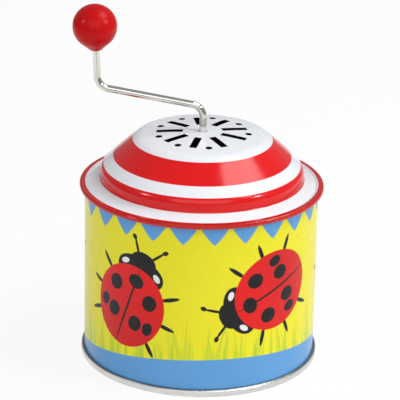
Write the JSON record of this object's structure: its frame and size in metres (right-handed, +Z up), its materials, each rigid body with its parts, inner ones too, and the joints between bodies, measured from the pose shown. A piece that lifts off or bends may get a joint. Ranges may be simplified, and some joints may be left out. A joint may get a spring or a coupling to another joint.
{
  "type": "hand-cranked music tin",
  "caption": "Cylindrical printed tin with a domed, slotted lid; a bent wire crank with a ball knob comes out of the dome's top and turns a pinned drum against a comb inside.",
  "frame": {"origin": "centre of the base, on the plane that the bottom rim rests on", "axes": "+Z up along the can's and the crank's axis; at rest the crank arm points to -X; -Y is the side that faces the viewer"},
  "size_m": [0.0886, 0.086, 0.1278],
  "materials": {
    "printed_tin": "lithographed gloss lacquer on tinplate",
    "lid_tin": "lithographed gloss lacquer, red and white rings",
    "bare_tin": "bare bright tinplate",
    "nickel_wire": "nickel-plated drawn wire",
    "ball_plastic": "deep red gloss",
    "cast_zinc": "as-cast grey",
    "worm_brass": "turned and cut",
    "drum_brass": "turned, pinned",
    "spring_steel": "ground hardened steel",
    "strip_steel": "bent zinc-plated strip",
    "turned_steel": "turned bright steel",
    "lead_weight": "dull lead grey",
    "washer_nylon": "natural nylon"
  },
  "bodies": {
    "can": {"can_body": "printed_tin", "lid": "lid_tin", "base_plate": "bare_tin", "bedplate": "cast_zinc", "base_screws": "turned_steel", "thrust_washer": "washer_nylon", "worm_bracket": "strip_steel", "near_bracket": "strip_steel", "far_bracket": "strip_steel", "bracket_screws": "turned_steel", "comb": "spring_steel", "comb_clamp": "strip_steel", "tuning_weights": "lead_weight", "comb_screws": "turned_steel"},
    "crank": {"crank_wire": "nickel_wire", "worm": "worm_brass"},
    "knob": {"knob": "ball_plastic"},
    "drum": {"pin_drum": "drum_brass", "worm_wheel": "worm_brass", "drum_cap": "drum_brass", "drum_arbor": "turned_steel"}
  },
  "joints": [
    {"name": "crank_spin", "type": "hinge", "parent": "can", "child": "crank", "pos_m": [0, 0, 0.08278], "axis": [0, 0, 1], "continuous": true},
    {"name": "knob_spin", "type": "hinge", "parent": "crank", "child": "knob", "pos_m": [-0.03786, 0, 0.12005], "axis": [-0.0488, 0, 0.9988], "continuous": true},
    {"name": "drum_spin", "type": "hinge", "parent": "can", "child": "drum", "pos_m": [0, 0.0093, 0.0153], "axis": [1, 0, 0], "continuous": true}
  ],
  "couplings": [
    {"joint": "drum_spin", "follows": "crank_spin", "ratio": 0.055556}
  ]
}
